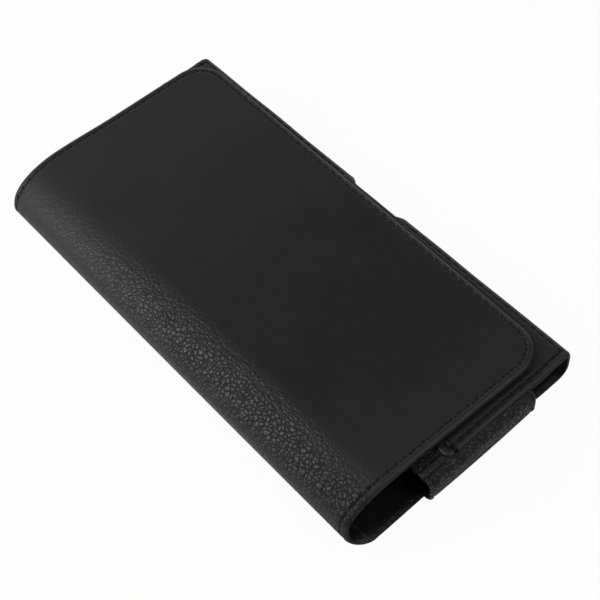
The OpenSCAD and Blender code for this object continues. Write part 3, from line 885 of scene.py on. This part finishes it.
def bent_strip(name, points, normals, across, start, width, thick, material, crown=0.0, hem=0.0, sewn=None):
    """A strap: its outer face follows points, and it goes the other way by thick, with rounded edges.

    Its width goes in the direction across, from start. crown is the height of its middle and hem that of
    its turned edges. sewn is (place on its course, how far across) of a stitched row.
    """
    fine = STRIP_INSETS[-1]
    count = max(4, int((width - 2 * fine) / 1.2))
    w = np.array(STRIP_INSETS + between(fine, width - fine, count) + before(width, STRIP_INSETS))
    run = lengths(points)
    d = np.minimum(np.minimum(w, width - w)[None, :], np.minimum(run, run[-1] - run)[:, None])
    rounding = 0.45 * thick * round_off(1 - d / 0.8)
    raised = crown * (1 - (2 * w / width - 1) ** 2)[None, :]
    turned = hem * (smooth(d / 0.5) - smooth((d - 1.1) / 0.5)) - 1.4 * hem * groove(d - 1.6, 0.35)
    top, bottom = turned - rounding + raised, -thick + rounding + raised
    away = np.full(d.shape, UNSEWN)
    if sewn:
        here = 1 - smooth((w - sewn[1] + 0.5) / 0.7)[None, :]
        off = (run - sewn[0])[:, None]
        top = top - STRAP_GROOVE * here * groove(off, 0.5)
        away = np.abs(off) + UNSEWN * (1 - here)
    base = points[:, None, :] + (start + w)[None, :, None] * np.array(across)
    up, low = ((base + normals[:, None, :] * h[:, :, None]).reshape(-1, 3) for h in (top, bottom))
    rows, cols = d.shape
    size = rows * cols
    index, quads = grid(rows, cols)
    quads = quads.reshape(-1, 4)
    ring = np.concatenate([index[0], index[1:, -1], index[-1, -2::-1], index[-2:0:-1, 0]]).tolist()
    walls = [(a, b, b + size, a + size) for a, b in zip(ring, ring[1:] + ring[:1])]
    faces = quads.tolist() + (quads[:, ::-1] + size).tolist() + walls
    flat = np.stack([np.tile(w, rows), np.repeat(run, cols), np.zeros(size)], 1)
    data = [("flat", "FLOAT_VECTOR", np.concatenate([flat, flat - [0, 0, thick]])),
            ("seam_u", "FLOAT", np.tile(w, 2 * rows)),
            ("seam_v", "FLOAT", np.concatenate([away.ravel(), away.ravel() + UNSEWN]))]
    return make_object(name, np.concatenate([up, low]), faces, material, data)


class StrapFace:
    """The end strap's outer face, from under the front panel, over the end and back under the pouch.

    x is across the strap, along Y, and s runs along its course.
    """

    def __init__(self, side):
        rise = POUCH_H - 2 * LEATHER_T - 2 * STRAP_R
        course = Course([[STRAP_TUCK, 0], [STRAP_R, 90], [rise, 0], [STRAP_R, 90], [STRAP_TUCK, 0]],
                        (HALF_L - STRAP_TUCK, LEATHER_T), 0)
        end, bend = course.length - STRAP_TUCK, 4.2
        s = spaced([(0, 1.0), (STRAP_TUCK, 0.3), (STRAP_TUCK + bend, 0.5), (end - bend, 0.3), (end, 0.2),
                    (end + 4, 1.0), (course.length, 1)])
        x, z, g = course.at(s)
        middle = course.length / 2
        swell = STRAP_SWELL * hump((s - middle) / (middle - 5))
        self.points = np.stack([side * (x + np.sin(g) * swell), 0 * x, z - np.cos(g) * swell], 1)
        self.normals = np.stack([side * np.sin(g), 0 * g, -np.cos(g)], 1)
        self.run = lengths(self.points)

    def place(self, x, s, up):
        at, normal = (np.stack([np.interp(s, self.run, values[:, k]) for k in (0, 1, 2)], -1)
                      for values in (self.points, self.normals))
        at = at + normal * np.asarray(up)[..., None]
        at[..., 1] = x
        return at, normal


def make_strap(side, name):
    """An end strap, its stitched row, and the piping over its top."""
    face = StrapFace(side)
    s = face.run[-1] - STRAP_TUCK + FRONT_SEAM + 0.3
    obj = bent_strip(name + "_leather", face.points, face.normals, (0, 1, 0), STRAP_Y0, STRAP_Y1 - STRAP_Y0,
                     STRAP_T, LEATHER_STRAP, STRAP_CROWN, STRAP_HEM, sewn=(s, FRONT_Y - STRAP_Y0))
    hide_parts(name)
    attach(obj, "pouch")
    line = np.array([[STRAP_Y0, s], [STRAP_Y0 + 3 * PITCH, s]])
    sewn = stitches(name + "_thread", face, [line], THREAD, STRAP_SINK)
    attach(sewn, "pouch")
    a = np.radians(np.linspace(-8, 188, 15))
    x, z = HALF_L - PIPE_IN + PIPE_RX * np.cos(a), POUCH_H - LEATHER_T + PIPE_LIFT + PIPE_RZ * np.sin(a)
    points, normals = np.stack([side * x, 0 * a, z], 1), np.stack([side * np.cos(a), 0 * a, np.sin(a)], 1)
    piping = bent_strip(name + "_piping", points, normals, (0, 1, 0), STRAP_Y0 - 0.2,
                        FRONT_Y - STRAP_Y0 - 0.1, PIPE_T, LEATHER_SHELL)
    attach(piping, "pouch")


def loop_line():
    """A belt loop's course, out from one foot, along the belt and back to the other, and its stations."""
    angle = math.radians(LOOP_TURN)
    bend = LOOP_GAP / (2 * (1 - math.cos(angle)))
    flat = (LOOP_Y1 - LOOP_Y0) - 2 * LOOP_FOOT - 4 * bend * math.sin(angle)
    c = Course([[LOOP_FOOT, 0], [bend, -LOOP_TURN], [bend, LOOP_TURN], [flat, 0], [bend, LOOP_TURN],
                [bend, -LOOP_TURN], [LOOP_FOOT, 0]], (LOOP_Y0, 0), 0)
    s = spaced([(0, 0.6), (LOOP_FOOT, 0.45), (c.s_of(3), 1.6), (c.s_of(4), 0.45), (c.s_of(6), 0.6),
                (c.length, 1)])
    return c, np.unique(np.concatenate([LOOP_INSETS, s, c.length - np.array(LOOP_INSETS)]))


def make_loop(side, name):
    """A belt loop, and the stitched squares of its feet."""
    c, s = loop_line()
    y, z, g = c.at(s)
    n = np.stack([0 * g, np.sin(g), -np.cos(g)], 1)
    x0, x1 = side * LOOP_X - LOOP_W / 2, side * LOOP_X + LOOP_W / 2
    obj = bent_strip(name + "_leather", np.stack([0 * y, y, z], 1) + n * LOOP_T, n, (1, 0, 0), x0, LOOP_W,
                     LOOP_T, LEATHER_STRAP, hem=LOOP_HEM)
    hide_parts(name)
    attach(obj, "pouch")
    x0, x1 = x0 + LOOP_SEAM, x1 - LOOP_SEAM
    paths = []
    for s0, s1 in (LOOP_ROWS, [c.length - k for k in LOOP_ROWS[::-1]]):
        paths += [np.array([a, b]) for a, b in (((x0, s0), (x1, s0)), ((x0, s1), (x1, s1)),
                                                ((x0, s0), (x0, s1)), ((x1, s0), (x1, s1)))]
    thread = stitches(name + "_thread", Sheet(c, -1), paths, THREAD, LOOP_T + LOOP_SINK, LOOP_THREAD,
                      LOOP_PITCH)
    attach(thread, "pouch")


def make_spring():
    """The clip's torsion spring: a coil round the pin and two legs."""
    leg_angle = math.asin((LEG_SPACE / 2 - PLAY - WIRE_D / 2 - COIL_R) / LEG)
    a0, a1 = -math.pi / 2 + leg_angle, math.pi / 2 - leg_angle + 2 * math.pi * COIL_TURNS
    half = (COIL_W - WIRE_D) / 2

    def point(a, along, x):
        out = np.array([math.cos(a), math.sin(a)]) * COIL_R + along * np.array([-math.sin(a), math.cos(a)])
        return np.array([x, PIN_Y + out[0], PIN_Z + out[1]])

    line = [point(a0, -LEG * t, -half) for t in np.linspace(1, 0, 14)]
    line += [point(a0 + (a1 - a0) * t, 0, half * (2 * t - 1)) for t in np.linspace(0, 1, 170)[1:]]
    line += [point(a1, LEG * t, half) for t in np.linspace(0, 1, 14)[1:]]
    line = np.array(line)
    tangent = unit_rows(np.gradient(line, axis=0))
    side = unit_rows(np.array([1.0, 0, 0]) - tangent * tangent[:, :1])
    radius = np.full(len(line), WIRE_D / 2)
    radius[[0, -1]] *= 0.75
    verts, faces = [], []
    add_tube(verts, faces, line, side, np.cross(tangent, side), radius, 10)
    obj = make_object("spring_wire", verts, faces, PLATED)
    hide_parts("clip_spring")
    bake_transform(obj)


def dress():
    """All pieces that stand for soft solids and the spring, and materials for the CAD's own meshes."""
    wrap, thread = make_wrap()
    cloth = make_wrap_lining()
    for piece in (wrap, thread, cloth):
        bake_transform(piece)
    seams = shell_seams()
    shell, pocket = make_shell(seams), make_shell_lining()
    for word, lines, sink in (("side", [seams[0]] + seams[3:], SIDE_SINK), ("base", seams[1:3], BASE_SINK)):
        sewn = stitches("pouch_thread_" + word, SHELL, [resample(p) for p in lines], THREAD, sink)
        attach(sewn, "pouch")
    for side, word in ((-1, "left"), (1, "right")):
        make_strap(side, "end_strap_" + word)
        make_loop(side, "belt_loop_" + word)
    make_spring()
    for node, material in CAD_MATERIALS.items():
        mesh = frame["nodes"][node].data
        mesh.materials.clear()
        mesh.materials.append(material)


def surround():
    """A dim soft surround, paler at the horizon and towards -X, as a light tent with its lamp on that side.

    Camera and glass see it white. Gloss sees it white only where it is a backdrop, low behind the holster.
    """
    world = bpy.data.worlds.new("studio")
    bpy.context.scene.world = world
    world.use_nodes = True
    n = Nodes(world.node_tree)
    n.tree.nodes.clear()
    x, y, z = n.split(n.coords("Generated"))
    side = n.most(n.minus(0.04, n.times(x, 0.46)), 0.05)
    strength = n.times(side, n.ramp(z, 0.1, 0.75, 2.1, 1.0))
    soft = n.made("Background", {"Color": grey(1.0), "Strength": strength})
    white = n.made("Background", {"Color": grey(1.0)})
    behind = n.plus(n.times(x, -0.81), n.times(y, 0.59))
    backdrop = n.times(n.ramp(behind, 0.2, 0.6), n.ramp(z, 0.35, 0.65, 1.0, 0.0))
    ray = n.tree.nodes.new("ShaderNodeLightPath").outputs
    seen = n.most(ray["Is Camera Ray"], ray["Is Transmission Ray"])
    seen = n.most(seen, n.times(ray["Is Glossy Ray"], backdrop))
    out = n.tree.nodes.new("ShaderNodeOutputWorld")
    n.link(n.made("MixShader", {0: seen, 1: soft, 2: white}), out.inputs[0])


def make_floor():
    """A pale floor, near white to the camera, that keeps the holster's shadow."""
    bm = bmesh.new()
    bmesh.ops.create_grid(bm, x_segments=8, y_segments=8, size=FLOOR_HALF)
    mesh = bpy.data.meshes.new("floor")
    bm.to_mesh(mesh)
    bm.free()
    floor = bpy.data.objects.new("floor", mesh)
    floor.location = (0, 0, FLOOR_Z)
    bpy.context.scene.collection.objects.link(floor)
    material, n, shader = new_material("floor")
    n.fill(shader, {"Base Color": grey(0.82), "Roughness": 0.9, "Specular IOR Level": 0.1})
    ray = n.tree.nodes.new("ShaderNodeLightPath").outputs
    seen = n.times(n.most(ray["Is Glossy Ray"], ray["Is Transmission Ray"]), FLOOR_GLOSS)
    seen = n.most(n.times(ray["Is Camera Ray"], FLOOR_GLOW), seen)
    glow = n.made("Emission", {"Strength": 1.0})
    blend = n.made("MixShader", {0: seen, 1: shader.outputs[0], 2: glow})
    n.link(blend, n.tree.nodes["Material Output"].inputs[0])
    mesh.materials.append(material)


def lamps():
    for name, (at, size, power) in LAMPS.items():
        lamp = bpy.data.lights.new(name, "AREA")
        lamp.shape, lamp.size, lamp.size_y, lamp.energy = "RECTANGLE", size[0], size[1], power
        obj = bpy.data.objects.new(name, lamp)
        obj.location = at
        obj.rotation_euler = (Vector(LAMP_AIM) - Vector(at)).to_track_quat("-Z", "Y").to_euler()
        bpy.context.scene.collection.objects.link(obj)


def camera():
    data = bpy.data.cameras.new("camera")
    data.lens, data.sensor_width, data.sensor_height, data.sensor_fit = FOCAL, FILM, FILM, "AUTO"
    data.clip_start = CLIP_START
    obj = bpy.data.objects.new("camera", data)
    bpy.context.scene.collection.objects.link(obj)
    forward, right = Vector(CAMERA_FORWARD), Vector(CAMERA_RIGHT)
    up = right.cross(forward).normalized()
    right = forward.cross(up).normalized()
    turn = Matrix((right, up, -forward.normalized())).transposed().to_4x4()
    obj.matrix_world = Matrix.Translation(CAMERA_AT) @ turn
    bpy.context.scene.camera = obj


dress()
surround()
make_floor()
lamps()
camera()
bpy.context.scene.view_settings.view_transform = "Standard"

bpy.context.view_layer.update()
